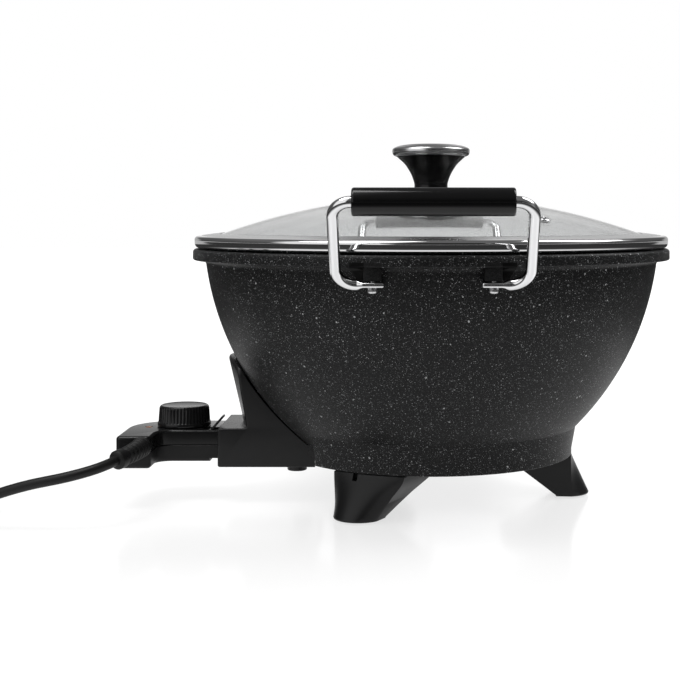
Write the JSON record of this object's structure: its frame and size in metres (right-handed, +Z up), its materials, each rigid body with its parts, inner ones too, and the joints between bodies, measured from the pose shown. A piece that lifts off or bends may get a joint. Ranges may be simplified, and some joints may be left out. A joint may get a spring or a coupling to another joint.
{
  "type": "electric wok",
  "caption": "Electric wok: a deep cast bowl on splayed legs, wire handles with round grips, a domed glass lid with a flared knob, and a plug-in thermostat controller on a mains lead.",
  "frame": {"origin": "on the table, under the middle of the box of the wok with its controller and without its lead", "axes": "+Z up; the handles stand at -Y and +Y; the controller plugs in from -X and the lead leaves it towards -Y"},
  "size_m": [0.5602, 0.4088, 0.246],
  "materials": {
    "fleck_coat": "charcoal non-stick coat with fine pale flecks on a cast bowl",
    "black_plastic": "satin black phenolic moulding",
    "gloss_plastic": "glossy black moulding",
    "black_rubber": "matt black flexible moulding",
    "chrome_wire": "bright plated steel wire",
    "polished_steel": "bright polished",
    "brushed_steel": "brushed",
    "brass": "plain",
    "ceramic": "off-white insulator",
    "clear_glass": "clear tempered",
    "amber_lens": "translucent amber"
  },
  "bodies": {
    "wok": {"bowl": "fleck_coat", "base_cover": "brushed_steel", "base_cover_screw": "polished_steel", "heating_element": "brushed_steel", "leg_right": "black_plastic", "foot_pad_right": "black_rubber", "leg_screw_right": "polished_steel", "leg_rear_left": "black_plastic", "foot_pad_rear_left": "black_rubber", "leg_screw_rear_left": "polished_steel", "leg_front_left": "black_plastic", "foot_pad_front_left": "black_rubber", "leg_screw_front_left": "polished_steel", "front_handle_wire": "chrome_wire", "front_handle_grip": "black_plastic", "front_handle_screw_left": "polished_steel", "front_handle_screw_right": "polished_steel", "rear_handle_wire": "chrome_wire", "rear_handle_grip": "black_plastic", "rear_handle_screw_left": "polished_steel", "rear_handle_screw_right": "polished_steel", "socket_housing": "black_plastic", "housing_screw_front": "polished_steel", "housing_screw_rear": "polished_steel", "inlet_block": "ceramic", "inlet_pin_front": "brass", "inlet_pin_rear": "brass"},
    "lid": {"lid_glass": "clear_glass", "lid_band": "polished_steel", "vent_eyelet": "polished_steel", "knob_body": "black_plastic", "knob_cap": "brushed_steel", "knob_seal": "black_rubber", "knob_washer": "polished_steel", "knob_bolt": "polished_steel"},
    "controller": {"controller_lower_shell": "black_plastic", "controller_upper_shell": "black_plastic", "controller_nose": "gloss_plastic", "contact_sleeve_front": "brass", "contact_sleeve_rear": "brass", "heat_probe": "polished_steel", "thermostat": "ceramic", "indicator_lens": "amber_lens", "lever_pin": "polished_steel", "strain_relief_boot": "black_rubber", "cord_lead": "black_rubber", "cord_coil": "black_rubber", "plug_body": "black_rubber", "plug_pin_left": "polished_steel", "plug_pin_right": "polished_steel"},
    "dial": {"dial": "black_plastic", "dial_shaft": "polished_steel"},
    "ejector": {"ejector_lever": "black_plastic"}
  },
  "joints": [
    {"name": "lid_lift", "type": "slide", "parent": "wok", "child": "lid", "axis": [0, 0, 1], "range_m": [0, 0.12]},
    {"name": "controller_slide", "type": "slide", "parent": "wok", "child": "controller", "axis": [-1, 0, 0], "range_m": [0, 0.085]},
    {"name": "dial_turn", "type": "hinge", "parent": "controller", "child": "dial", "pos_m": [-0.1512, -0.0025, 0.0485], "axis": [0, 0, -1], "range_deg": [0, 300]},
    {"name": "ejector_turn", "type": "hinge", "parent": "controller", "child": "ejector", "pos_m": [-0.1313, -0.016, 0.0462], "axis": [0, -1, 0], "range_deg": [0, 25]}
  ]
}
